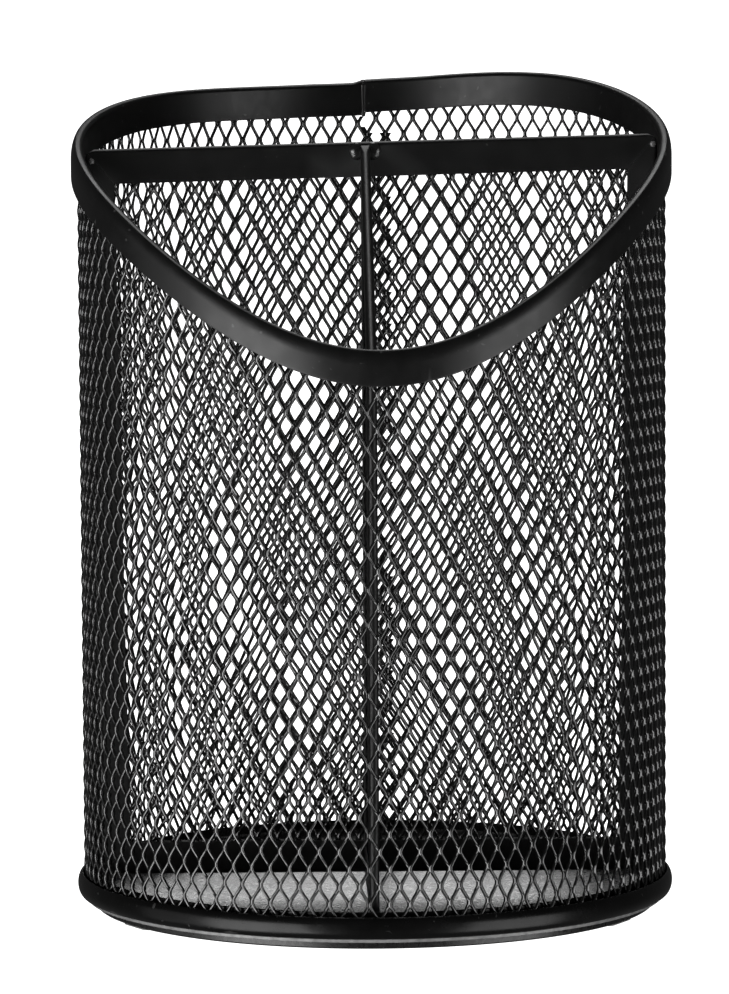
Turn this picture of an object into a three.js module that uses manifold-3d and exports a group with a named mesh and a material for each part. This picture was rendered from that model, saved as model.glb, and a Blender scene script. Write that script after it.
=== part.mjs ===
// Three-compartment pen cup of expanded steel mesh. Millimetres, +Z up.
// The origin is the centre of the base at table level. The low scoop of the rim faces -Y.
import * as THREE from "three";
import { mergeVertices } from "three/addons/utils/BufferGeometryUtils.js";
import Module from "manifold-3d";

const wasm = await Module();
wasm.setup();

// ---- Driving dimensions ----
const ROUND_SEGMENTS = 120;

// Height of the rim's upper edge: a mean height and a few waves round the cup. The first wave drops
// the front, the second raises the two sides, and the others round the scoop and the rear lobes.
const RIM_MEAN = 123.7;
const RIM_WAVES = [
  { turns: 1, cos: 0.7, sin: 19.3 },
  { turns: 2, cos: 6.0, sin: 0.6 },
  { turns: 3, cos: -0.2, sin: -1.4 },
  { turns: 4, cos: -0.8, sin: -0.2 },
];

// Heights under this one are distances below the rim's edge, and heights over it stand on the table.
const LOWEST_TABLE_HEIGHT = 0.1;

// Mesh wall
const WALL_INNER = 48.5;
const WALL_OUTER = 49.1;
const WALL_BOTTOM = 3.3;
const WALL_BELOW_RIM = 0.8;

// Folded band round the rim
const BAND_INNER = 48.0;
const BAND_OUTER = 49.95;
const BAND_STEEL = 0.4;
const BAND_HEIGHT = 5.8;
const BAND_SEAM_ANGLE = THREE.MathUtils.degToRad(90.2);
const BAND_SEAM_GAP = 0.3;

// Rolled ring that grips the lower edge of the wall
const RING_OUTER = 50;
const RING_INNER = 47.4;
const RING_BOTTOM = 2.0;
const RING_TOP = 5.9;
const RING_INNER_TOP = 6.5;
const RING_GROOVE_GAP = 0.3;

// Base pan
const PAN_FLOOR = 2.2;
const PAN_STEEL = 0.5;
const PAN_FLAT_RADIUS = 41.5;
const PAN_RADIUS = 47.1;
const PAN_EDGE_HEIGHT = 5.0;
const FOOT_OUTER = 46.6;
const FOOT_INNER = 41.0;
const FOOT_BOTTOM = 0.4;

// Foot pads
const PAD_LENGTH = 5.0;
const PAD_WIDTH = 8.0;
const PAD_CENTRE_RADIUS = 43.8;
const PAD_ANGLES = { rear: 90, left: 210, right: 330 };

// Divider across the cup and partition to the front
const RAIL_THICKNESS = 1.6;
const RAIL_SLOT = 1.0;
const RAIL_WEB = 0.6;
const PANEL_THICKNESS = 0.5;
const PANEL_GAP = 0.3;
const MITRE_GAP = 0.15;
const DIVIDER_BOTTOM = 5.1;
const DIVIDER_HALF_BOTTOM = 46.0;
const DIVIDER_HALF_TOP = 47.7;
const DIVIDER_TOP_MIDDLE = 127.9;
const DIVIDER_TOP_SLOPE = 0.023;
const DIVIDER_RAILS = { bottom: 5.5, side: 4.9, top: 5.8 };
const PARTITION_X = -1.0;
const PARTITION_REAR = 1.1;
const PARTITION_FRONT_BOTTOM = 46.0;
const PARTITION_FRONT_TOP = 47.6;
const PARTITION_TOP_REAR = 127.6;
const PARTITION_TOP_FRONT = 94.6;

// Weld beads
const WELD_RADII = { corner: 0.6, joint: 0.85, front: 1.0 };
const WELD_HEIGHT_SHARE = 0.55;
const WELD_GAP = 0.02;

// ---- Materials ----
function coatedSteel(name, color, roughness) {
  return new THREE.MeshStandardMaterial({ name, color, roughness, metalness: 0.2 });
}

const BAND_COLOR = 0x1c1c1e;
const MESH_COLOR = 0x222224;
const PAN_COLOR = 0x2a2a2b;
const WELD_COLOR = 0x151516;
const PAD_COLOR = 0xb9bbba;

// ---- Shape helpers ----
function rimHeight(angle) {
  return RIM_WAVES.reduce(
    (height, wave) =>
      height + wave.cos * Math.cos(wave.turns * angle) + wave.sin * Math.sin(wave.turns * angle),
    RIM_MEAN,
  );
}

// A solid of revolution about Z from a list of [radius, height] that starts and ends alike or on the axis.
function turned(profile, segments = ROUND_SEGMENTS) {
  const points = profile.map(([radius, height]) => new THREE.Vector2(radius, height));
  return new THREE.LatheGeometry(points, segments).rotateX(Math.PI / 2);
}

function turnedRing(profile) {
  return turned([...profile, profile[0]]);
}

// Moves the points whose heights are given from the rim's edge to the rim itself.
function followRim(geometry) {
  const place = geometry.attributes.position;
  for (let i = 0; i < place.count; i += 1) {
    if (place.getZ(i) < LOWEST_TABLE_HEIGHT) {
      const angle = Math.atan2(place.getY(i), place.getX(i));
      place.setZ(i, place.getZ(i) + rimHeight(angle));
    }
  }
  return geometry;
}

function solidOf(geometry) {
  const bare = geometry.clone();
  bare.deleteAttribute("normal");
  bare.deleteAttribute("uv");
  const merged = mergeVertices(bare, 1e-4);
  const vertProperties = new Float32Array(merged.attributes.position.array);
  const triVerts = new Uint32Array(merged.index.array);
  return new wasm.Manifold(new wasm.Mesh({ numProp: 3, vertProperties, triVerts }));
}

function cut(geometry, tool) {
  const result = solidOf(geometry).subtract(solidOf(tool)).getMesh();
  const shape = new THREE.BufferGeometry();
  shape.setAttribute("position", new THREE.BufferAttribute(result.vertProperties, 3));
  shape.setIndex(new THREE.BufferAttribute(result.triVerts, 1));
  return shape;
}

// A flat plate of an outline in the XZ plane, centred on Y = 0.
function upright(outline, thickness) {
  const shape = new THREE.Shape(outline);
  const plate = new THREE.ExtrudeGeometry(shape, { depth: thickness, bevelEnabled: false });
  return plate.translate(0, 0, -thickness / 2).rotateX(Math.PI / 2);
}

// The outline with each side moved inwards by its own distance.
function inset(outline, distances) {
  const sides = outline.map((start, i) => {
    const along = outline[(i + 1) % outline.length].clone().sub(start).normalize();
    const inward = new THREE.Vector2(-along.y, along.x);
    return { point: start.clone().addScaledVector(inward, distances[i]), along };
  });
  return sides.map((side, i) => {
    const before = sides[(i + sides.length - 1) % sides.length];
    const offset = side.point.clone().sub(before.point);
    const step = offset.cross(side.along) / before.along.cross(side.along);
    return before.point.clone().addScaledVector(before.along, step);
  });
}

// One rail along side i of the outline: a channel with mitred ends, open towards the panel.
function mitredRail(outline, widths, i) {
  const next = (i + 1) % outline.length;
  const inner = inset(outline, widths);
  const along = outline[next].clone().sub(outline[i]).normalize().multiplyScalar(MITRE_GAP);
  const bar = [
    outline[i].clone().add(along),
    outline[next].clone().sub(along),
    inner[next].clone().sub(along),
    inner[i].clone().add(along),
  ];
  const slot = inset(outline, outline.map(() => RAIL_WEB));
  return cut(upright(bar, RAIL_THICKNESS), upright(slot, RAIL_SLOT));
}

function meshPanel(outline) {
  const edge = outline.map(() => RAIL_WEB + PANEL_GAP);
  return upright(inset(outline, edge), PANEL_THICKNESS);
}

// ---- Round parts ----
function wallMesh() {
  return followRim(
    turnedRing([
      [WALL_INNER, WALL_BOTTOM],
      [WALL_OUTER, WALL_BOTTOM],
      [WALL_OUTER, -WALL_BELOW_RIM],
      [WALL_INNER, -WALL_BELOW_RIM],
    ]),
  );
}

// A channel folded over the wall's edge, with its two ends butted at the back.
function rimBand() {
  const channel = followRim(
    turnedRing([
      [BAND_OUTER - BAND_STEEL, -BAND_HEIGHT],
      [BAND_OUTER, -BAND_HEIGHT],
      [BAND_OUTER, -BAND_STEEL / 2],
      [BAND_OUTER - BAND_STEEL / 2, 0],
      [BAND_INNER + BAND_STEEL / 2, 0],
      [BAND_INNER, -BAND_STEEL / 2],
      [BAND_INNER, -BAND_HEIGHT],
      [BAND_INNER + BAND_STEEL, -BAND_HEIGHT],
      [BAND_INNER + BAND_STEEL, -BAND_STEEL],
      [BAND_OUTER - BAND_STEEL, -BAND_STEEL],
    ]),
  );
  const seam = new THREE.BoxGeometry(BAND_HEIGHT, BAND_SEAM_GAP, 4 * BAND_HEIGHT)
    .translate(BAND_INNER + BAND_HEIGHT / 4, 0, rimHeight(BAND_SEAM_ANGLE))
    .rotateZ(BAND_SEAM_ANGLE);
  return cut(channel, seam);
}

// The outer face of the ring is a half-round bead.
function baseRing() {
  const middle = (RING_TOP + RING_BOTTOM) / 2;
  const reach = (RING_TOP - RING_BOTTOM) / 2;
  const bulge = RING_OUTER - WALL_OUTER - RING_GROOVE_GAP;
  const bead = [-70, -45, -20, 0, 20, 45, 70].map((degrees) => {
    const angle = THREE.MathUtils.degToRad(degrees);
    return [RING_OUTER - bulge * (1 - Math.cos(angle)), middle + reach * Math.sin(angle)];
  });
  return turnedRing([
    [RING_INNER, RING_BOTTOM],
    ...bead,
    [WALL_OUTER + RING_GROOVE_GAP, RING_TOP],
    [WALL_OUTER + RING_GROOVE_GAP, WALL_BOTTOM - RING_GROOVE_GAP],
    [WALL_INNER - RING_GROOVE_GAP, WALL_BOTTOM - RING_GROOVE_GAP],
    [WALL_INNER - RING_GROOVE_GAP, RING_INNER_TOP],
    [RING_INNER, RING_INNER_TOP],
  ]);
}

// A pressed floor that curves up to the ring, on a turned-in foot.
function basePan() {
  const rise = PAN_EDGE_HEIGHT - PAN_FLOOR;
  const run = PAN_RADIUS - PAN_FLAT_RADIUS;
  const sweep = [75, 60, 45, 30, 15].map((degrees) => {
    const angle = THREE.MathUtils.degToRad(degrees);
    return [PAN_FLAT_RADIUS + run * Math.sin(angle), PAN_FLOOR + rise * (1 - Math.cos(angle))];
  });
  return turned([
    [0, PAN_FLOOR - PAN_STEEL],
    [FOOT_INNER, PAN_FLOOR - PAN_STEEL],
    [FOOT_INNER, FOOT_BOTTOM],
    [FOOT_OUTER, FOOT_BOTTOM],
    [FOOT_OUTER, RING_BOTTOM],
    [PAN_RADIUS, RING_BOTTOM + PAN_STEEL],
    [PAN_RADIUS, PAN_EDGE_HEIGHT],
    ...sweep,
    [PAN_FLAT_RADIUS, PAN_FLOOR],
    [0, PAN_FLOOR],
  ]);
}

function footPad(degrees) {
  return new THREE.BoxGeometry(PAD_LENGTH, PAD_WIDTH, FOOT_BOTTOM)
    .translate(PAD_CENTRE_RADIUS, 0, FOOT_BOTTOM / 2)
    .rotateZ(THREE.MathUtils.degToRad(degrees));
}

// A low dome whose flat side faces +Y.
function weldBead(radius) {
  const dome = [0, 22.5, 45, 67.5, 90].map((degrees) => {
    const angle = THREE.MathUtils.degToRad(degrees);
    return [radius * Math.cos(angle), WELD_HEIGHT_SHARE * radius * Math.sin(angle)];
  });
  return turned([[0, 0], ...dome], 12).rotateX(Math.PI / 2);
}

// ---- Outlines of the two framed panels, anticlockwise from the lower left ----
function dividerTop(x) {
  return DIVIDER_TOP_MIDDLE + DIVIDER_TOP_SLOPE * x;
}

const DIVIDER_OUTLINE = [
  new THREE.Vector2(-DIVIDER_HALF_BOTTOM, DIVIDER_BOTTOM),
  new THREE.Vector2(DIVIDER_HALF_BOTTOM, DIVIDER_BOTTOM),
  new THREE.Vector2(DIVIDER_HALF_TOP, dividerTop(DIVIDER_HALF_TOP)),
  new THREE.Vector2(-DIVIDER_HALF_TOP, dividerTop(-DIVIDER_HALF_TOP)),
];
const DIVIDER_WIDTHS = [DIVIDER_RAILS.bottom, DIVIDER_RAILS.side, DIVIDER_RAILS.top, DIVIDER_RAILS.side];

// Its first axis is the distance towards the front.
const PARTITION_OUTLINE = [
  new THREE.Vector2(PARTITION_REAR, DIVIDER_BOTTOM),
  new THREE.Vector2(PARTITION_FRONT_BOTTOM, DIVIDER_BOTTOM),
  new THREE.Vector2(PARTITION_FRONT_TOP, PARTITION_TOP_FRONT),
  new THREE.Vector2(PARTITION_REAR, PARTITION_TOP_REAR),
];
const PARTITION_WIDTHS = DIVIDER_WIDTHS;

// ---- Assembly ----
const cup = new THREE.Group();

function add(name, geometry, material, parent = cup) {
  const mesh = new THREE.Mesh(geometry, material);
  mesh.name = name;
  parent.add(mesh);
  return mesh;
}

add("wall_mesh", wallMesh(), coatedSteel("wall_mesh", MESH_COLOR, 0.5));
add("rim_band", rimBand(), coatedSteel("rim_band", BAND_COLOR, 0.4));
add("base_ring", baseRing(), coatedSteel("base_ring", BAND_COLOR, 0.4));
add("base_pan", basePan(), coatedSteel("base_pan", PAN_COLOR, 0.35));
for (const [side, degrees] of Object.entries(PAD_ANGLES)) {
  const rubber = new THREE.MeshStandardMaterial({ color: PAD_COLOR, roughness: 0.6, metalness: 0 });
  add(`foot_pad_${side}`, footPad(degrees), rubber);
}

// Both panels are built facing the front. The partition's group is turned a quarter to the front.
function addFrame(name, outline, widths, sideNames, group) {
  add(`${name}_panel`, meshPanel(outline), coatedSteel(`${name}_panel`, MESH_COLOR, 0.5), group);
  sideNames.forEach((side, i) => {
    const rail = mitredRail(outline, widths, i);
    add(`${name}_rail_${side}`, rail, coatedSteel(`${name}_rail_${side}`, BAND_COLOR, 0.4), group);
  });
  cup.add(group);
}

const divider = new THREE.Group();
addFrame("divider", DIVIDER_OUTLINE, DIVIDER_WIDTHS, ["bottom", "right", "top", "left"], divider);

const partition = new THREE.Group();
partition.rotation.z = -Math.PI / 2;
partition.position.x = PARTITION_X;
addFrame("partition", PARTITION_OUTLINE, PARTITION_WIDTHS, ["bottom", "front", "top", "rear"], partition);

// Welds on the divider's front face: one at each upper corner and one on each side of the partition.
const WELDS = {
  corner_left: [-46.5, 124.9],
  corner_right: [46.9, 127.2],
  joint_left: [-2.8, 126.3],
  joint_right: [0.8, 126.3],
};
for (const [name, [x, z]] of Object.entries(WELDS)) {
  const bead = weldBead(name.startsWith("corner") ? WELD_RADII.corner : WELD_RADII.joint);
  const weld = add(`weld_${name}`, bead, coatedSteel(`weld_${name}`, WELD_COLOR, 0.5));
  weld.position.set(x, -RAIL_THICKNESS / 2 - WELD_GAP, z);
}

// Welds that hold the partition's front rail, one on each face.
const FRONT_WELD = { y: -45.0, z: 91.0 };
for (const [name, side] of [["front_left", -1], ["front_right", 1]]) {
  const bead = weldBead(WELD_RADII.front);
  const weld = add(`weld_${name}`, bead, coatedSteel(`weld_${name}`, WELD_COLOR, 0.5));
  weld.rotation.z = side * (Math.PI / 2);
  weld.position.set(PARTITION_X + side * (RAIL_THICKNESS / 2 + WELD_GAP), FRONT_WELD.y, FRONT_WELD.z);
}

export default cup;
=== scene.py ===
"""The looks of a three-compartment mesh pen cup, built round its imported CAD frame.

Shapes are written in millimetres and turned into metres where their meshes are made.
The origin is the middle of the base at table level, +Z is up, and the low side of the rim faces -Y.
"""

import math

import bmesh
import bpy
from mathutils import Matrix, Vector, noise


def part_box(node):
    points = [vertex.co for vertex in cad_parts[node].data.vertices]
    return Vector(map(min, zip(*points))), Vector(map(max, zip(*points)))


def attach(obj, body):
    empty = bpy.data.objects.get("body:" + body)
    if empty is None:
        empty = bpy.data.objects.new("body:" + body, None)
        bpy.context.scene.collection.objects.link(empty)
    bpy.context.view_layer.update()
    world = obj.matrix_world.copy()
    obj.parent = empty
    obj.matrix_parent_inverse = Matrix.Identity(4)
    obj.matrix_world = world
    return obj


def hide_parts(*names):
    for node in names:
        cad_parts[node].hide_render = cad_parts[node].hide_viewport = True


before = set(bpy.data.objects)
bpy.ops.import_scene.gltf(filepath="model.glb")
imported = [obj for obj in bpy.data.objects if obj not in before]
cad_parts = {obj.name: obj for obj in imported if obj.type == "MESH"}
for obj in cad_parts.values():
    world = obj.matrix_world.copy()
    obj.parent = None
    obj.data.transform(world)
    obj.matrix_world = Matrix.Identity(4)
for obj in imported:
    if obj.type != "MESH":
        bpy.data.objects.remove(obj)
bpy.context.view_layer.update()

MM = 0.001

# ---- Camera, in the cup's frame ----
CAMERA_DISTANCE = 838.15
CAMERA_HEIGHT = 144.74
CAMERA_TURN = 0.0199
CAMERA_PAN = -0.0017
CAMERA_DOWN = 0.0907
CAMERA_ROLL = -0.0057
CAMERA_LENS = 182.03
CAMERA_SENSOR = 36

# ---- Rim: a mean height and a few waves round the cup, as (turns, cosine, sine) ----
RIM_MEAN = 123.7
RIM_WAVES = ((1, 0.7, 19.3), (2, 6.0, 0.6), (3, -0.2, -1.4), (4, -0.8, -0.2))

# ---- Expanded mesh: a strand's section, its tilt, and the straight length where two strands join ----
STRAND_WIDTH = 0.45
STRAND_THICKNESS = 0.51
STRAND_TILT = math.radians(-52)
BOND_LENGTH = 0.5
STRAND_STEPS = 3
STRAND_CURVE = 0.27
STUB_SHARE = 0.45
BOND_JITTER = 0.09

WALL_RADIUS = 48.46
WALL_COLUMNS = 94
WALL_HALF_ROW = 2.801
WALL_ANCHOR_ANGLE = math.radians(-96.04)
WALL_ANCHOR_HEIGHT = 10.58
WALL_CLIMB = 1.0
WALL_SAG = 0.5
WALL_FIRST_COLUMN = -93
WALL_LAST_COLUMN = 97
WALL_ROWS = (-3, 56)
WALL_LOWEST_BOND = 4.2
WALL_BELOW_RIM = 2.4
WALL_SEED = 11
OVERLAP_OFFSET = 0.2
OVERLAP_BELOW_RIM = 8.5
OVERLAP_BLEND = math.radians(12)

PANEL_HALF_PITCH = 1.708
PANEL_HALF_ROW = 2.782
PANEL_BOND_INSET = 2.2
DIVIDER_ANCHOR = (1.10, 105.46)
DIVIDER_LATTICE_TURN = math.radians(-1.3)
PARTITION_ANCHOR = (20.0, 60.0)
PARTITION_LATTICE_TURN = math.radians(0.4)

# ---- Rim band ----
BAND_INNER = 47.85
BAND_OUTER = 49.95
BAND_STEEL = 0.35
BAND_HEIGHT = 5.8
BAND_CORNER = 0.9
BAND_OUTER_DROP = 2.6
BAND_INNER_DROP = 0.8
BAND_STEPS = 720
BAND_SEAM = math.radians(90.2)
BAND_SEAM_HALF_GAP = math.radians(0.12)
BAND_SEAM_STEP = 0.22
BAND_SEAM_FADE = math.radians(13)
BAND_SEAM_LIFT = 0.4
BAND_LIFT_LENGTH = math.radians(2.6)
BAND_WAVER = 0.03

# ---- Base: the rolled ring with its bead, lip, groove and inner leg, then the pan on its foot ----
LATHE_STEPS = 360
BEAD_MIDDLE_RADIUS = 49.15
BEAD_TOP = 5.9
BEAD_LIFT = 0.35
LIP_RADIUS = 48.6
LIP_TOP = 2.18
LIP_BOTTOM = 1.7
LIP_WIDTH = 0.9
LIP_EDGE = 0.1
# How far into the lip the pale bare-steel colour reaches. That colour also paints the lip's bright line of
# light.
LIP_BARE_HIGHLIGHT_DEPTH = 0.12
GROOVE_RISE = 0.9
GROOVE_OUTER_GAP = 0.47
LEG_INNER = 47.4
LEG_STEEL = 0.35
FOOT_INNER = 41.0
FOOT_OUTER = 47.0
FOOT_ROUND = 0.35
PAN_FLOOR = 2.2
PAN_FLAT_RADIUS = 41.5
PAN_STEEL = 0.5
PAN_HEM = 0.3

# ---- Rails: a folded channel ----
RAIL_HALF_THICKNESS = 0.8
RAIL_STEEL = 0.3
RAIL_FOLD = 0.74
RAIL_FLAT_FOLD = 0.15
RAIL_FOLD_BLEND = 2.5
RAIL_CORNER = 1.9
RAIL_STEPS = 24
RAIL_WIDTHS = (5.5, 4.9, 5.8, 4.9)
CAD_MITRE_GAP = 0.15
MITRE_GAP = 0.03
RAIL_WAVER = 0.02

# ---- Foot pads ----
PAD_LENGTH = 5.0
PAD_WIDTH = 8.0
PAD_CORNER = 1.1

# ---- Welds: the ridge on the band's seam, then each kind of spot as half sizes, height and ripples ----
SEAM_WELD_HALF_WIDTH = 0.34
SEAM_WELD_HEIGHT = 0.13
SEAM_WELD_RISE = 0.04
SEAM_WELD_TURN = 0.004
SEAM_WELD_BURR = 0.5
SEAM_WELD_SIDES = 8
CORNER_WELD = ((0.50, 0.48), 0.4, 0.0)
JOINT_WELD = ((1.3, 1.5), 0.75, 0.0)
FRONT_WELD = ((1.0, 0.9), 0.5, 0.05)
JOINT_WELD_REACH = 0.45

# ---- Lights, in metres: each softbox's name, azimuth, elevation, width, height and radiance ----
LIGHT_DISTANCE = 1.2
LIGHT_TARGET_HEIGHT = 0.07
SOFTBOXES = (
    ("softbox_left", -47, -16, 0.85, 1.00, 4.6),
    ("softbox_right", 53, -16, 0.80, 1.00, 2.7),
    ("fill_left", -84, -10, 0.60, 0.90, 0.45),
    ("softbox_top", 180, 66, 0.50, 1.10, 2.3),
    ("back_panel", 180, 9, 0.20, 0.36, 3.3),
)
WORLD_BLEND = (-0.5, -0.18)
WORLD_STRENGTHS = (0.12, 0.045)

# ---- Stage, in metres ----
STAGE_RADIUS = 3.0
STAGE_COVE = 0.8
STAGE_WALL_TOP = 3.5
STAGE_DOME_RISE = 1.5
STAGE_STEPS = 96
STAGE_GLOW = 1.5


# ======================================================================
# Mesh helpers
# ======================================================================
def rim_height(angle):
    waves = sum(c * math.cos(n * angle) + s * math.sin(n * angle) for n, c, s in RIM_WAVES)
    return RIM_MEAN + waves


def smooth_step(x):
    x = min(max(x, 0.0), 1.0)
    return x * x * (3 - 2 * x)


def arc(centre, radii, start, end, steps):
    """Points on an ellipse's arc in the plane, angles in degrees, both ends included."""
    points = []
    for k in range(steps + 1):
        angle = math.radians(start + (end - start) * k / steps)
        points.append((centre[0] + radii[0] * math.cos(angle), centre[1] + radii[1] * math.sin(angle)))
    return points


def polar(radius, angle, height):
    return Vector((radius * math.cos(angle), radius * math.sin(angle), height))


def box_mm(node):
    low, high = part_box(node)
    return low / MM, high / MM


def make_piece(name, vertices, faces, material, nodes, sharp=40, weighted=True):
    """One mesh piece that rides on the cup, stands for its CAD nodes and shades smoothly."""
    mesh = bpy.data.meshes.new(name)
    mesh.from_pydata([tuple(v * MM) for v in vertices], [], faces)
    shape = bmesh.new()
    shape.from_mesh(mesh)
    bmesh.ops.remove_doubles(shape, verts=shape.verts, dist=1e-7)
    bmesh.ops.recalc_face_normals(shape, faces=shape.faces)
    shape.to_mesh(mesh)
    shape.free()
    mesh.shade_smooth()
    if sharp:
        mesh.set_sharp_from_angle(angle=math.radians(sharp))
    mesh.materials.append(material)
    piece = bpy.data.objects.new(name, mesh)
    bpy.context.scene.collection.objects.link(piece)
    if weighted:
        normals = piece.modifiers.new("flat_faces_stay_flat", "WEIGHTED_NORMAL")
        normals.keep_sharp = True
    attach(piece, "root")
    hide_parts(*nodes)
    return piece


def sweep(sections, closed):
    """Vertices and faces of a tube through sections with the same number of points."""
    count = len(sections[0])
    vertices = [point for section in sections for point in section]
    faces = []
    spans = len(sections) if closed else len(sections) - 1
    for k in range(spans):
        here, there = k * count, (k + 1) % len(sections) * count
        for i in range(count):
            j = (i + 1) % count
            faces.append((here + i, here + j, there + j, there + i))
    if not closed:
        last = (len(sections) - 1) * count
        faces.append(tuple(range(count - 1, -1, -1)))
        faces.append(tuple(range(last, last + count)))
    return vertices, faces


def turned(profile):
    """A closed profile of (radius, height) points turned round the cup's axis."""
    turns = [2 * math.pi * k / LATHE_STEPS for k in range(LATHE_STEPS)]
    sections = [[polar(radius, angle, height) for radius, height in profile] for angle in turns]
    return sweep(sections, closed=True)


def joined(*shapes):
    vertices, faces = [], []
    for more_vertices, more_faces in shapes:
        start = len(vertices)
        vertices.extend(more_vertices)
        faces.extend(tuple(start + i for i in face) for face in more_faces)
    return vertices, faces


# ======================================================================
# Materials
# ======================================================================
class Look:
    """A node material on one Principled shader, driven by noise in object space."""

    def __init__(self, name):
        self.material = bpy.data.materials.new(name)
        self.material.use_nodes = True
        self.nodes = self.material.node_tree.nodes
        self.links = self.material.node_tree.links
        self.shader = self.nodes["Principled BSDF"]
        self.place = self.nodes.new("ShaderNodeTexCoord").outputs["Object"]

    def set(self, **values):
        for socket, value in values.items():
            self.shader.inputs[socket.replace("_", " ")].default_value = value

    def noise(self, size, detail):
        """Noise from 0 to 1 whose blotches are about size millimetres across."""
        node = self.nodes.new("ShaderNodeTexNoise")
        node.inputs["Scale"].default_value = 1 / (size * MM)
        node.inputs["Detail"].default_value = detail
        self.links.new(self.place, node.inputs["Vector"])
        return node.outputs["Fac"]

    def spread(self, value, from_low, from_high, to_low, to_high):
        node = self.nodes.new("ShaderNodeMapRange")
        for socket, number in zip(node.inputs[1:5], (from_low, from_high, to_low, to_high)):
            socket.default_value = number
        self.links.new(value, node.inputs["Value"])
        return node.outputs["Result"]

    def mix(self, share, first, second):
        node = self.nodes.new("ShaderNodeMix")
        node.data_type = "RGBA"
        self.links.new(share, node.inputs["Factor"])
        for socket, value in ((node.inputs[6], first), (node.inputs[7], second)):
            if isinstance(value, tuple):
                socket.default_value = (*value, 1)
            else:
                self.links.new(value, socket)
        return node.outputs[2]

    def edges(self):
        """How far a point stands out as an edge, from the mesh's own curvature."""
        return self.nodes.new("ShaderNodeNewGeometry").outputs["Pointiness"]

    def colour(self, value):
        self.links.new(value, self.shader.inputs["Base Color"])

    def roughness(self, value):
        self.links.new(value, self.shader.inputs["Roughness"])

    def bump(self, height, strength, distance):
        """Bumps whose height is in millimetres."""
        node = self.nodes.new("ShaderNodeBump")
        node.inputs["Strength"].default_value = strength
        node.inputs["Distance"].default_value = distance * MM
        self.links.new(height, node.inputs["Height"])
        self.links.new(node.outputs["Normal"], self.shader.inputs["Normal"])


def powder_coat(name, dark, light, roughness, peel, ior=1.5):
    """Satin black powder coat: cloudy black, orange peel, a few dust specks and slightly rubbed edges."""
    look = Look(name)
    worn = (0.05,) * 3
    cloud = look.mix(look.spread(look.noise(9, 3), 0.3, 0.7, 0, 1), dark, light)
    dusty = look.mix(look.spread(look.noise(0.9, 0), 0.80, 0.86, 0, 1), cloud, worn)
    pale_where_pointy = look.spread(look.edges(), 0.54, 0.62, 0, 0.7)
    look.colour(look.mix(pale_where_pointy, dusty, worn))
    look.roughness(look.spread(look.noise(3, 3), 0.3, 0.7, roughness - 0.04, roughness + 0.05))
    look.bump(look.noise(0.5, 2), peel, 0.02)
    look.set(IOR=ior)
    return look.material


def coated_mesh_look():
    """The same coat on thin strands: cheaper nodes, because it covers hundreds of thousands of faces."""
    look = Look("coated_mesh")
    look.colour(look.mix(look.spread(look.noise(6, 2), 0.3, 0.7, 0, 1), (0.003,) * 3, (0.006,) * 3))
    look.roughness(look.spread(look.noise(1.2, 1), 0.3, 0.7, 0.17, 0.27))
    look.bump(look.noise(0.35, 1), 0.15, 0.02)
    look.set(IOR=1.95)
    return look.material


def pan_look():
    """Smoother coat on the pressed floor, with a fine grain and faint scuffs from pens."""
    look = Look("coated_pan")
    cloud = look.mix(look.spread(look.noise(12, 3), 0.3, 0.7, 0, 1), (0.008,) * 3, (0.014,) * 3)
    look.colour(look.mix(look.spread(look.noise(1.5, 4), 0.62, 0.75, 0, 0.4), cloud, (0.04,) * 3))
    look.roughness(look.spread(look.noise(0.6, 3), 0.3, 0.7, 0.22, 0.36))
    look.bump(look.noise(0.15, 1), 0.04, 0.02)
    look.set(IOR=1.5)
    return look.material


def bare_edge_highlight_look():
    """The sheared edge of the ring: bare steel where the coat is thin, made pale enough that its colour
    also paints the bright line of light along the lip.
    """
    look = Look("bare_edge_painted_highlight")
    look.colour(look.mix(look.spread(look.noise(1.5, 3), 0.35, 0.65, 0, 1), (0.20,) * 3, (0.32,) * 3))
    look.roughness(look.spread(look.noise(0.8, 2), 0.3, 0.7, 0.45, 0.6))
    look.bump(look.noise(0.3, 2), 0.3, 0.02)
    look.set(Metallic=0.25)
    return look.material


def weld_look(name, top_highlight_shade):
    """Coat over a weld: glossier, and on the top of the bead rubbed through and painted paler, a painted
    highlight.
    """
    look = Look(name)
    top = look.spread(look.edges(), 0.50, 0.56, 0, 1)
    look.colour(look.mix(top, (0.006,) * 3, (top_highlight_shade,) * 3))
    look.roughness(look.spread(look.noise(0.5, 2), 0.3, 0.7, 0.14, 0.24))
    look.bump(look.noise(0.4, 2), 0.5, 0.08)
    look.set(IOR=1.8)
    return look.material


def rubber_look():
    """Clear rubber gone slightly milky, with dust pressed into it."""
    look = Look("clear_rubber")
    dusty = look.spread(look.noise(1.2, 3), 0.4, 0.7, 0, 1)
    look.colour(look.mix(dusty, (0.55, 0.56, 0.55), (0.4, 0.4, 0.39)))
    look.roughness(look.spread(look.noise(0.8, 2), 0.3, 0.7, 0.3, 0.5))
    look.bump(look.noise(0.4, 2), 0.2, 0.02)
    look.set(IOR=1.45, Transmission_Weight=0.55)
    return look.material


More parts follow.
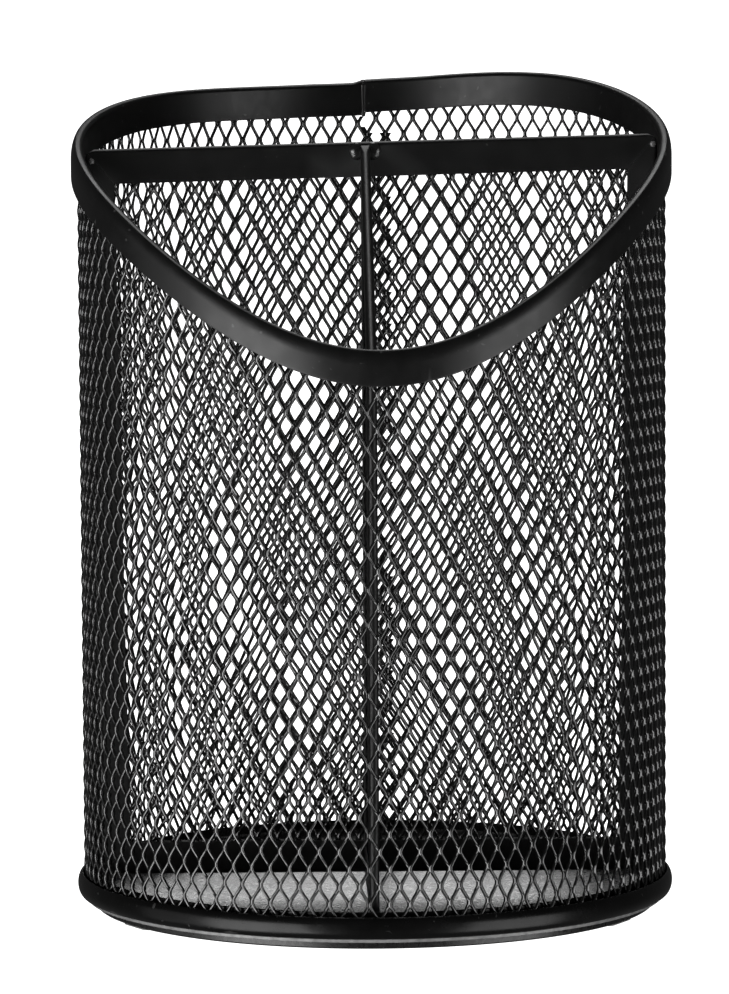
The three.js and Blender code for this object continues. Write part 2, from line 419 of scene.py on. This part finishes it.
# ======================================================================
# Expanded mesh
# ======================================================================
def expanded_mesh(half_pitch, half_row, columns, rows, place, keeps, seed, first=True, last=True):
    """A sheet slit and stretched into diamond openings, as vertices and faces.

    Bonds stand where column + row is odd, and openings where it is even. Wire i winds between
    columns i and i + 1, and each bond is shared by the wires on its two sides. place(along, through, up)
    gives a point on the sheet, and keeps(point) says whether the bond there is inside the sheet's edges.
    first and last say whether the outer halves of the first and last columns' bonds belong to this sheet.
    """
    wires = range(columns[0] - 1 if first else columns[0], columns[1] + 1 if last else columns[1])
    across = (math.cos(STRAND_TILT) * STRAND_WIDTH, math.sin(STRAND_TILT) * STRAND_WIDTH)
    through = (-math.sin(STRAND_TILT) * STRAND_THICKNESS / 2, math.cos(STRAND_TILT) * STRAND_THICKNESS / 2)
    bonds = {}
    for column in range(columns[0], columns[1] + 1):
        for row in range(*rows):
            if (column + row) % 2:
                jitter = noise.noise_vector(Vector((0.73 * column, 0.61 * row, seed))) * BOND_JITTER
                along = column * half_pitch + jitter.x
                up = row * half_row + jitter.y
                if keeps(place(along, 0, up)):
                    bonds[column, row] = (along, up)

    vertices, faces, known = [], [], {}

    def new_vertex(along, depth, up):
        vertices.append(place(along, depth, up))
        return len(vertices) - 1

    def corner(bond, end, side, face):
        """A bond's corner: end is its lower or upper end, side -1, 0 or 1, face its front or back."""
        key = (bond, end, side, face)
        if key not in known:
            along, up = bonds[bond]
            known[key] = new_vertex(
                along + side * across[0] + face * through[0],
                side * across[1] + face * through[1],
                up + end * BOND_LENGTH / 2,
            )
        return known[key]

    def bond_of(wire, row):
        """The bond that a wire shares in a row, and which half of it is the wire's."""
        if (wire + row) % 2:
            return (wire, row), 0
        return (wire + 1, row), -1

    def section(wire, row, end):
        bond, left = bond_of(wire, row)
        return [corner(bond, end, side, face) for side, face in
                ((left, -1), (left + 1, -1), (left + 1, 1), (left, 1))]

    def corner_places(wire, row, end):
        """Where the corners of a wire are, as numbers on the sheet, also past the sheet's edge."""
        bond, left = bond_of(wire, row)
        along, up = bonds.get(bond, (bond[0] * half_pitch, row * half_row))
        return [(along + side * across[0] + face * through[0], side * across[1] + face * through[1],
                 up + end * BOND_LENGTH / 2) for side, face in
                ((left, -1), (left + 1, -1), (left + 1, 1), (left, 1))]

    def between(lower, upper, share):
        """A section part of the way along the strand between two bonds."""
        swing = (1 - STRAND_CURVE) * share + STRAND_CURVE * smooth_step(share)
        points = []
        for (along, depth, up), (next_along, next_depth, next_up) in zip(lower, upper):
            points.append(new_vertex(
                along + (next_along - along) * swing,
                depth + (next_depth - depth) * swing,
                up + (next_up - up) * share,
            ))
        return points

    def skin(here, there, sides=(0, 1, 2, 3)):
        for i in sides:
            j = (i + 1) % 4
            faces.append((here[i], here[j], there[j], there[i]))

    def strand(wire, row):
        """The strand from a wire's bond in this row up to its bond in the next."""
        lower, upper = corner_places(wire, row, 1), corner_places(wire, row + 1, -1)
        here = section(wire, row, 1)
        for step in range(1, STRAND_STEPS):
            there = between(lower, upper, step / STRAND_STEPS)
            skin(here, there)
            here = there
        skin(here, section(wire, row + 1, -1))

    def stub(wire, row, end):
        """The short end that is left where the cut crosses a strand."""
        start = section(wire, row, end)
        lower = corner_places(wire, row if end > 0 else row - 1, 1)
        upper = corner_places(wire, row + 1 if end > 0 else row, -1)
        tip = between(lower, upper, STUB_SHARE)
        if end > 0:
            skin(start, tip)
        else:
            skin(tip, start)
        faces.append(tuple(tip) if end > 0 else tuple(reversed(tip)))

    for wire in wires:
        for row in range(*rows):
            bond, left = bond_of(wire, row)
            if bond not in bonds:
                continue
            lower, upper = section(wire, row, -1), section(wire, row, 1)
            shared_side = 1 if left else 3
            neighbour = wire + 1 if left else wire - 1
            skin(lower, upper, [side for side in range(4) if side != shared_side or neighbour not in wires])
            if bond_of(wire, row + 1)[0] in bonds:
                strand(wire, row)
            else:
                stub(wire, row, 1)
            if bond_of(wire, row - 1)[0] not in bonds:
                stub(wire, row, -1)
    return vertices, faces


def wall_sheet(columns, seed, first, last):
    """Part of the sheet that is rolled into the wall, its two edges lapped at the back."""
    half_angle = math.pi / WALL_COLUMNS
    start = WALL_ANCHOR_ANGLE + WALL_FIRST_COLUMN * half_angle
    end = WALL_ANCHOR_ANGLE + WALL_LAST_COLUMN * half_angle

    def place(along, depth, up):
        angle = WALL_ANCHOR_ANGLE + along / WALL_RADIUS
        start_lap = smooth_step(1 - (angle - start) / OVERLAP_BLEND)
        end_lap = smooth_step(1 - (end - angle) / OVERLAP_BLEND)
        radius = WALL_RADIUS - depth - OVERLAP_OFFSET * (start_lap - end_lap)
        from_front = (angle + math.pi / 2) / math.pi
        shift = WALL_CLIMB * from_front / 2 - WALL_SAG * from_front ** 2
        return polar(radius, angle, WALL_ANCHOR_HEIGHT + up + shift)

    def keeps(point):
        lapped = first and point.x > 0 and point.y > 0
        below_rim = OVERLAP_BELOW_RIM if lapped else WALL_BELOW_RIM
        return WALL_LOWEST_BOND < point.z < rim_height(math.atan2(point.y, point.x)) - below_rim

    return expanded_mesh(
        WALL_RADIUS * half_angle, WALL_HALF_ROW, columns, WALL_ROWS, place, keeps, seed, first, last
    )


def panel_sheet(outline, anchor, turn, put, seed):
    """A flat panel of mesh whose edges lie inside its rails. put(along, through, up) sets it in the cup."""
    reach = max(abs(x - anchor[0]) for x, z in outline)
    rise = max(abs(z - anchor[1]) for x, z in outline)
    columns = math.ceil(reach / PANEL_HALF_PITCH) + 2
    rows = math.ceil(rise / PANEL_HALF_ROW) + 2
    edges = [inset_line(outline, i, PANEL_BOND_INSET) for i in range(4)]

    def flat(along, up):
        x = anchor[0] + along * math.cos(turn) - up * math.sin(turn)
        z = anchor[1] + along * math.sin(turn) + up * math.cos(turn)
        return x, z

    def place(along, depth, up):
        x, z = flat(along, up)
        return Vector((x, depth, z))

    def keeps(point):
        return all(
            (point.x - start[0]) * inward[0] + (point.z - start[1]) * inward[1] > 0
            for start, inward in edges
        )

    vertices, faces = expanded_mesh(
        PANEL_HALF_PITCH, PANEL_HALF_ROW, (-columns, columns), (-rows, rows), place, keeps, seed
    )
    return [put(v.x, v.y, v.z) for v in vertices], faces


# ======================================================================
# Panel outlines and rails
# ======================================================================
def side_of(outline, i):
    """A side's start, its direction and its inward direction."""
    start, end = Vector(outline[i]), Vector(outline[(i + 1) % 4])
    along = (end - start).normalized()
    return start, along, Vector((-along.y, along.x))


def inset_line(outline, i, distance):
    start, along, inward = side_of(outline, i)
    return start + inward * distance, inward


def inset_corner(outline, i):
    """Where the inner edges of rail i and the rail before it meet."""
    start, along, inward = side_of(outline, i)
    before_start, before_along, before_inward = side_of(outline, (i + 3) % 4)
    start = start + inward * RAIL_WIDTHS[i]
    before_start = before_start + before_inward * RAIL_WIDTHS[(i + 3) % 4]
    offset = start - before_start
    turn = before_along.x * along.y - before_along.y * along.x
    share = (offset.x * along.y - offset.y * along.x) / turn
    return before_start + before_along * share


def rounded(point, outline):
    """Moves a point near a corner of the outline in, so that the corner is round."""
    for i in range(4):
        corner, along, inward = side_of(outline, i)
        before = -side_of(outline, (i + 3) % 4)[1]
        offset = point - corner
        away_from_side = offset.dot(inward)
        away_from_before = offset.dot(along) - offset.dot(inward) * along.dot(before)
        if away_from_side < RAIL_CORNER and away_from_before < RAIL_CORNER:
            centre = corner + along * RAIL_CORNER + before * RAIL_CORNER
            from_centre = point - centre
            if from_centre.length > 1e-9:
                direction = from_centre.normalized()
                return centre + from_centre * max(abs(direction.x), abs(direction.y))
    return point


def rail_profile(width, from_corner):
    """The channel's section as (distance from the outer edge, across): a fold and two flanges.

    The fold is round along the rail and flattens where the strip is bent at a corner.
    """
    half, inner = RAIL_HALF_THICKNESS, RAIL_HALF_THICKNESS - RAIL_STEEL
    fold = RAIL_FLAT_FOLD + (RAIL_FOLD - RAIL_FLAT_FOLD) * smooth_step(from_corner / RAIL_FOLD_BLEND)
    lip = 0.1
    front = [(width - lip, -inner), (width, -inner - lip), (width, -half + lip), (width - lip, -half)]
    bend = arc((fold, -half + fold), (fold, fold), 270, 180, 5)
    bend += arc((fold, half - fold), (fold, fold), 180, 90, 5)
    rear = [(x, -y) for x, y in reversed(front)]
    inside = [
        (RAIL_STEEL + 0.3, inner),
        (RAIL_STEEL, inner - 0.25),
        (RAIL_STEEL, -inner + 0.25),
        (RAIL_STEEL + 0.3, -inner),
    ]
    return front + bend + rear + inside


def rail(outline, i, put, seed):
    """One mitred rail along side i of the outline."""
    following = (i + 1) % 4
    width = RAIL_WIDTHS[i]
    outer_start, outer_end = Vector(outline[i]), Vector(outline[following])
    inner_start, inner_end = inset_corner(outline, i), inset_corner(outline, following)
    along = (outer_end - outer_start).normalized()
    sections = []
    for k in range(RAIL_STEPS + 1):
        turn = math.pi * k / RAIL_STEPS
        share = (1 - math.cos(turn)) / 2
        from_corner = min(share, 1 - share) * (outer_end - outer_start).length
        section = []
        for distance, across in rail_profile(width, from_corner):
            start = outer_start.lerp(inner_start, distance / width) + along * MITRE_GAP
            end = outer_end.lerp(inner_end, distance / width) - along * MITRE_GAP
            point = rounded(start.lerp(end, share), outline)
            waver = RAIL_WAVER * noise.noise(Vector((point.x / 14, point.y / 14, seed)))
            section.append(put(point.x, across + waver, point.y))
        sections.append(section)
    return sweep(sections, closed=False)


def divider_outline():
    """The divider's corners, anticlockwise from the lower left as seen from the front."""
    bottom_low, bottom_high = box_mm("divider_rail_bottom")
    top_low, top_high = box_mm("divider_rail_top")
    left_high = box_mm("divider_rail_left")[1].z + CAD_MITRE_GAP
    right_high = box_mm("divider_rail_right")[1].z + CAD_MITRE_GAP
    return [
        (bottom_low.x - CAD_MITRE_GAP, bottom_low.z),
        (bottom_high.x + CAD_MITRE_GAP, bottom_low.z),
        (top_high.x + CAD_MITRE_GAP, right_high),
        (top_low.x - CAD_MITRE_GAP, left_high),
    ]


def partition_outline():
    """The partition's corners, with the distance to the front as the first number."""
    bottom_low = box_mm("partition_rail_bottom")[0]
    front_high = box_mm("partition_rail_front")[1].z + CAD_MITRE_GAP
    rear_high = box_mm("partition_rail_rear")[1].z + CAD_MITRE_GAP
    rear = -box_mm("partition_rail_rear")[1].y
    return [
        (rear, bottom_low.z),
        (-bottom_low.y + CAD_MITRE_GAP, bottom_low.z),
        (-box_mm("partition_rail_front")[0].y, front_high),
        (rear, rear_high),
    ]


# ======================================================================
# Round pieces
# ======================================================================
def band_profile():
    """The folded band's section as (radius, height from the rim's edge)."""
    lip = 0.12
    outer, inner = BAND_OUTER, BAND_INNER
    outside = [(outer - BAND_STEEL, -BAND_HEIGHT + lip), (outer - BAND_STEEL / 2, -BAND_HEIGHT),
               (outer - 0.03, -BAND_HEIGHT + lip), (outer, -BAND_HEIGHT + 3 * lip)]
    crown = arc((outer - BAND_CORNER, -BAND_OUTER_DROP), (BAND_CORNER, BAND_OUTER_DROP), 0, 90, 9)
    crown += arc((inner + BAND_CORNER, -BAND_INNER_DROP), (BAND_CORNER, BAND_INNER_DROP), 90, 180, 6)
    inside = [(inner, -BAND_HEIGHT + 3 * lip), (inner + 0.03, -BAND_HEIGHT + lip),
              (inner + BAND_STEEL / 2, -BAND_HEIGHT), (inner + BAND_STEEL, -BAND_HEIGHT + lip)]
    hollow = [(inner + BAND_STEEL, -BAND_INNER_DROP - 0.3), (inner + BAND_CORNER, -BAND_STEEL - 0.1),
              (outer - BAND_CORNER - 0.1, -BAND_STEEL - 0.1), (outer - BAND_STEEL - 0.05, -BAND_OUTER_DROP)]
    return outside + crown + inside + hollow


def band_step(turned_by):
    """The band's two ends meet with one a little higher. turned_by runs from the seam, 0 to a full turn."""
    left_end = smooth_step(1 - turned_by / BAND_SEAM_FADE)
    right_end = smooth_step(1 - (2 * math.pi - turned_by) / BAND_SEAM_FADE)
    return BAND_SEAM_STEP * (right_end - left_end)


def rim_band_shape():
    profile = band_profile()
    full = 2 * math.pi - 2 * BAND_SEAM_HALF_GAP
    sections = []
    for k in range(BAND_STEPS + 1):
        turned_by = BAND_SEAM_HALF_GAP + full * k / BAND_STEPS
        angle = BAND_SEAM + turned_by
        edge = rim_height(angle) + band_step(turned_by)
        waver = BAND_WAVER * noise.noise(polar(2.6, angle, 0))
        lift = BAND_SEAM_LIFT * smooth_step(1 - turned_by / BAND_LIFT_LENGTH)
        sections.append([
            polar(radius + waver, angle, edge + height + lift * smooth_step(1 + height / BAND_OUTER_DROP))
            for radius, height in profile
        ])
    return sweep(sections, closed=False)


def seam_weld_shape():
    """A thin ragged weld over the band's seam, with a burr hanging below its inner edge."""
    # The outer face, the crown and the inner face, without the band's lower edges and its hollow.
    over_the_band = band_profile()[3:-6]
    path = over_the_band + [(BAND_INNER + 0.1, -BAND_HEIGHT - SEAM_WELD_BURR)]
    edge = rim_height(BAND_SEAM)
    sections = []
    for k, (radius, height) in enumerate(path):
        ragged = 1 + 0.35 * math.sin(2.7 * k)
        outward = 1 if radius > (BAND_INNER + BAND_OUTER) / 2 else -1
        on_crown = height > -BAND_CORNER / 2
        ring = []
        for step in range(SEAM_WELD_SIDES):
            turn = 2 * math.pi * step / SEAM_WELD_SIDES
            sideways = SEAM_WELD_HALF_WIDTH * ragged * math.cos(turn)
            out = SEAM_WELD_HEIGHT * ragged * math.sin(turn)
            ring.append(polar(
                radius + (0 if on_crown else outward * out),
                BAND_SEAM + SEAM_WELD_TURN + sideways / BAND_OUTER,
                edge + height + (abs(out) if on_crown else 0) + SEAM_WELD_RISE,
            ))
        sections.append(ring)
    return sweep(sections, closed=False)


def ring_profile():
    """The rolled ring: a half-round bead outside, a groove for the wall and a straight leg inside."""
    low, high = box_mm("base_ring")
    bead_bottom = low.z + BEAD_LIFT
    middle, reach = (BEAD_TOP + bead_bottom) / 2, (BEAD_TOP - bead_bottom) / 2
    bead = arc((BEAD_MIDDLE_RADIUS, middle), (high.x - BEAD_MIDDLE_RADIUS, reach), -78, 90, 20)
    leg_round = LEG_STEEL / 2
    leg_top = arc((LEG_INNER + leg_round, high.z - leg_round), (leg_round, leg_round), 0, 180, 6)
    return [
        (LEG_INNER, LIP_TOP),
        (LIP_RADIUS - LIP_WIDTH, LIP_BOTTOM),
        (LIP_RADIUS - LIP_EDGE, LIP_BOTTOM),
        (LIP_RADIUS, LIP_BOTTOM + LIP_EDGE),
        (LIP_RADIUS, LIP_TOP),
        *bead,
        (BEAD_MIDDLE_RADIUS - 0.05, BEAD_TOP - 0.2),
        (WALL_RADIUS + GROOVE_OUTER_GAP, LIP_TOP + GROOVE_RISE),
        (LEG_INNER + LEG_STEEL, LIP_TOP + GROOVE_RISE),
        *leg_top,
    ]


def pan_profile():
    """A pressed floor that curves up to the ring, on a turned-in foot. It starts and ends on the axis."""
    low, high = box_mm("base_pan")
    edge_radius, edge_height = high.x, high.z
    foot_bottom = low.z
    run, rise = edge_radius - PAN_FLAT_RADIUS, edge_height - PAN_FLOOR
    curve = arc((PAN_FLAT_RADIUS, edge_height), (run, rise), 270, 360, 14)
    foot = arc((FOOT_OUTER - FOOT_ROUND, foot_bottom + FOOT_ROUND), (FOOT_ROUND, FOOT_ROUND), 0, -90, 4)
    return [
        (0, PAN_FLOOR),
        *((PAN_FLAT_RADIUS * k / 6, PAN_FLOOR) for k in range(1, 6)),
        *curve,
        (edge_radius + PAN_HEM / 2, edge_height + 0.05),
        (edge_radius + PAN_HEM, edge_height - 0.1),
        (edge_radius + PAN_HEM, LIP_TOP),
        (FOOT_OUTER, LIP_TOP - 0.1),
        *foot,
        (FOOT_INNER + 0.25, foot_bottom),
        (FOOT_INNER, foot_bottom + 0.25),
        (FOOT_INNER, PAN_FLOOR - PAN_STEEL - 0.3),
        (FOOT_INNER - 0.3, PAN_FLOOR - PAN_STEEL),
        (0, PAN_FLOOR - PAN_STEEL),
    ]


# ======================================================================
# Welds and pads
# ======================================================================
def bead_shape(radii, height, put, seed, ripples):
    """A lumpy low dome on a plane. put(along, out, up) sets it in the cup."""
    around, rise = 28, 8
    sections = []
    for k in range(rise + 1):
        tilt = math.pi / 2 * k / rise
        ring = []
        for step in range(around):
            turn = 2 * math.pi * step / around
            lump = 1 + 0.10 * noise.noise(Vector((2 * math.cos(turn), 2 * math.sin(turn), seed)))
            wide = math.cos(tilt) * lump
            along = radii[0] * wide * math.cos(turn)
            up = radii[1] * wide * math.sin(turn)
            wave = 1 + ripples * math.sin(9 * math.hypot(along, up) / max(radii) + seed)
            ring.append(put(along, height * math.sin(tilt) * wave, up))
        sections.append(ring)
    return sweep(sections, closed=False)


def weld_piece(name, radii, height, ripples, seed, material):
    low, high = box_mm(name)
    middle = (low + high) / 2
    on_divider = "front" not in name
    outward = -1 if middle.x < -1 else 1
    toward_joint = -outward * JOINT_WELD_REACH if "joint" in name else 0

    def put(along, out, up):
        if on_divider:
            return Vector((middle.x + along + toward_joint, high.y - out, middle.z + up))
        near = high.x if outward < 0 else low.x
        return Vector((near + outward * out, middle.y + along, middle.z + up))

    vertices, faces = bead_shape(radii, height, put, seed, ripples)
    return make_piece(f"{name}_bead", vertices, faces, material, [name], sharp=0)


def pad_piece(name, material):
    """A soft rectangular pad with round corners and a rolled edge."""
    low, high = box_mm(name)
    middle = (low + high) / 2
    angle = math.atan2(middle.y, middle.x)
    rolled = ((0.35, 0.0), (0.10, 0.05), (0.0, 0.14))
    levels = (*rolled, (0.0, high.z - 0.1), (0.1, high.z - 0.02), (0.35, high.z))
    sections = []
    for inset, height in levels:
        ring = []
        for sign_x, sign_y, start in ((1, 1, 0), (-1, 1, 90), (-1, -1, 180), (1, -1, 270)):
            centre = (sign_x * (PAD_LENGTH / 2 - PAD_CORNER), sign_y * (PAD_WIDTH / 2 - PAD_CORNER))
            radius = PAD_CORNER - inset
            for x, y in arc(centre, (radius, radius), start, start + 90, 6):
                spot = Matrix.Rotation(angle, 3, "Z") @ Vector((x, y, 0))
                ring.append(Vector((middle.x + spot.x, middle.y + spot.y, height)))
        sections.append(ring)
    vertices, faces = sweep(sections, closed=False)
    return make_piece(f"{name}_clear", vertices, faces, material, [name])


# ======================================================================
# Camera, light and floor
# ======================================================================
def make_camera():
    data = bpy.data.cameras.new("camera")
    data.lens = CAMERA_LENS
    data.sensor_width = CAMERA_SENSOR
    data.clip_start, data.clip_end = 0.05, 20
    heading = CAMERA_PAN + CAMERA_TURN
    forward = Vector((
        math.sin(heading) * math.cos(CAMERA_DOWN),
        math.cos(heading) * math.cos(CAMERA_DOWN),
        -math.sin(CAMERA_DOWN),
    ))
    level = Vector((math.cos(heading), -math.sin(heading), 0))
    upright = level.cross(forward)
    right = math.cos(CAMERA_ROLL) * level + math.sin(CAMERA_ROLL) * upright
    top = math.cos(CAMERA_ROLL) * upright - math.sin(CAMERA_ROLL) * level
    camera = bpy.data.objects.new("camera", data)
    turn = Matrix((right, top, -forward)).transposed().to_4x4()
    spot = Vector((
        -CAMERA_DISTANCE * math.sin(CAMERA_TURN), -CAMERA_DISTANCE * math.cos(CAMERA_TURN), CAMERA_HEIGHT,
    ))
    camera.matrix_world = Matrix.Translation(spot * MM) @ turn
    bpy.context.scene.collection.objects.link(camera)
    bpy.context.scene.camera = camera


def softbox(name, azimuth, elevation, width, height, radiance):
    """A rectangular light facing the cup. Azimuth 0 is the camera's side, and it grows towards +X."""
    data = bpy.data.lights.new(name, "AREA")
    data.shape = "RECTANGLE"
    data.size, data.size_y = width, height
    data.energy = radiance * math.pi * width * height
    around, above = math.radians(azimuth), math.radians(elevation)
    direction = Vector((
        math.sin(around) * math.cos(above),
        -math.cos(around) * math.cos(above),
        math.sin(above),
    ))
    light = bpy.data.objects.new(name, data)
    light.rotation_mode = "QUATERNION"
    light.location = Vector((0, 0, LIGHT_TARGET_HEIGHT)) + direction * LIGHT_DISTANCE
    light.rotation_quaternion = direction.to_track_quat("Z", "Y")
    light.visible_camera = False
    bpy.context.scene.collection.objects.link(light)


def make_lights():
    for values in SOFTBOXES:
        softbox(*values)


def make_world():
    """Dim surroundings, paler below the horizon where the table throws light back."""
    world = bpy.data.worlds.new("studio")
    world.use_nodes = True
    nodes, links = world.node_tree.nodes, world.node_tree.links
    direction = nodes.new("ShaderNodeTexCoord")
    axes = nodes.new("ShaderNodeSeparateXYZ")
    floor = nodes.new("ShaderNodeMapRange")
    links.new(direction.outputs["Generated"], axes.inputs["Vector"])
    links.new(axes.outputs["Z"], floor.inputs["Value"])
    for socket, number in zip(floor.inputs[1:5], WORLD_BLEND + WORLD_STRENGTHS):
        socket.default_value = number
    links.new(floor.outputs["Result"], nodes["Background"].inputs["Strength"])
    nodes["Background"].inputs["Color"].default_value = (1, 1, 1, 1)
    bpy.context.scene.world = world


def make_stage():
    """A white floor that curves up into a round backdrop and closes over the top."""
    outline = [(0, 0), (0.3, 0), (STAGE_RADIUS - STAGE_COVE, 0)]
    outline += arc((STAGE_RADIUS - STAGE_COVE, STAGE_COVE), (STAGE_COVE, STAGE_COVE), 270, 360, 16)
    outline += arc((0, STAGE_WALL_TOP), (STAGE_RADIUS, STAGE_DOME_RISE), 0, 90, 16)
    shape = bmesh.new()
    points = [shape.verts.new((x, 0, z)) for x, z in outline]
    edges = [shape.edges.new(pair) for pair in zip(points, points[1:])]
    bmesh.ops.spin(
        shape, geom=points + edges, cent=(0, 0, 0), axis=(0, 0, 1),
        angle=2 * math.pi, steps=STAGE_STEPS, use_merge=True,
    )
    bmesh.ops.remove_doubles(shape, verts=shape.verts, dist=1e-5)
    mesh = bpy.data.meshes.new("stage")
    shape.to_mesh(mesh)
    shape.free()
    mesh.shade_smooth()
    white = bpy.data.materials.new("white_sweep")
    white.use_nodes = True
    shader = white.node_tree.nodes["Principled BSDF"]
    shader.inputs["Base Color"].default_value = (0.4, 0.4, 0.4, 1)
    shader.inputs["Roughness"].default_value = 0.9
    shader.inputs["Specular IOR Level"].default_value = 0
    shader.inputs["Emission Color"].default_value = (1, 1, 1, 1)
    shader.inputs["Emission Strength"].default_value = STAGE_GLOW
    mesh.materials.append(white)
    stage = bpy.data.objects.new("stage", mesh)
    bpy.context.scene.collection.objects.link(stage)
    stage.visible_diffuse = False
    stage.visible_glossy = False
    stage.visible_transmission = False
    stage.visible_shadow = False


# ======================================================================
# The cup
# ======================================================================
def on_divider(x, y, z):
    return Vector((x, y, z))


def on_partition(forward, across, z):
    low, high = box_mm("partition_panel")
    return Vector(((low.x + high.x) / 2 + across, -forward, z))


def make_wall(material):
    """The rolled sheet in a left and a right part, so that neither mesh is too heavy."""
    halfway = (WALL_FIRST_COLUMN + WALL_LAST_COLUMN) // 2
    for name, columns, first, last in (
        ("wall_mesh_left", (WALL_FIRST_COLUMN, halfway), True, False),
        ("wall_mesh_right", (halfway, WALL_LAST_COLUMN), False, True),
    ):
        vertices, faces = wall_sheet(columns, WALL_SEED, first, last)
        make_piece(name, vertices, faces, material, ["wall_mesh"], sharp=0, weighted=False)


def make_band(material):
    vertices, faces = joined(rim_band_shape(), seam_weld_shape())
    make_piece("rim_band_folded", vertices, faces, material, ["rim_band"])


def make_base(coat, bare_and_highlight, pan, rubber):
    vertices, faces = turned(ring_profile())
    ring = make_piece("base_ring_rolled", vertices, faces, coat, ["base_ring"])
    # The lip's outer face gets the pale bare-edge colour, which is bare steel and also a painted highlight
    # standing in for the bright line along the lip.
    ring.data.materials.append(bare_and_highlight)
    for polygon in ring.data.polygons:
        middle = polygon.center / MM
        on_lip = math.hypot(middle.x, middle.y) > LIP_RADIUS - LIP_BARE_HIGHLIGHT_DEPTH
        if on_lip and middle.z < LIP_TOP:
            polygon.material_index = 1
    vertices, faces = turned(pan_profile())
    make_piece("base_pan_pressed", vertices, faces, pan, ["base_pan"])
    for side in ("rear", "left", "right"):
        pad_piece(f"foot_pad_{side}", rubber)


def make_frame(name, outline, sides, put, anchor, turn, mesh_look, rail_look, seed):
    vertices, faces = panel_sheet(outline, anchor, turn, put, seed)
    panel = f"{name}_panel"
    make_piece(f"{name}_mesh", vertices, faces, mesh_look, [panel], sharp=0, weighted=False)
    for i, side in enumerate(sides):
        vertices, faces = rail(outline, i, put, seed + i)
        node = f"{name}_rail_{side}"
        make_piece(f"{node}_channel", vertices, faces, rail_look, [node])


def make_welds(coated, pale_where_pointy):
    # The corner welds take the material whose pale top paints their bright highlight dot.
    for seed, side in enumerate(("left", "right")):
        weld_piece(f"weld_corner_{side}", *CORNER_WELD, seed, pale_where_pointy)
        weld_piece(f"weld_joint_{side}", *JOINT_WELD, seed + 4, coated)
        weld_piece(f"weld_front_{side}", *FRONT_WELD, seed + 8, coated)


def make_cup():
    mesh_look = coated_mesh_look()
    band_look = powder_coat("coated_band", (0.0025,) * 3, (0.0045,) * 3, 0.34, 0.12)
    ring_look = powder_coat("coated_ring", (0.0025,) * 3, (0.0045,) * 3, 0.24, 0.16, ior=1.34)
    rail_look = powder_coat("coated_rail", (0.0035,) * 3, (0.006,) * 3, 0.38, 0.16)
    make_wall(mesh_look)
    make_band(band_look)
    make_base(ring_look, bare_edge_highlight_look(), pan_look(), rubber_look())
    make_frame("divider", divider_outline(), ("bottom", "right", "top", "left"), on_divider,
               DIVIDER_ANCHOR, DIVIDER_LATTICE_TURN, mesh_look, rail_look, 21)
    make_frame("partition", partition_outline(), ("bottom", "front", "top", "rear"), on_partition,
               PARTITION_ANCHOR, PARTITION_LATTICE_TURN, mesh_look, rail_look, 31)
    # The corner welds' pale tops paint a bright highlight dot. The joint and front welds' tops are painted
    # only faintly paler.
    make_welds(weld_look("coated_weld", 0.02), weld_look("worn_weld_painted_highlight", 0.5))


bpy.context.scene.view_settings.view_transform = "Standard"
make_camera()
make_world()
make_lights()
make_stage()
make_cup()
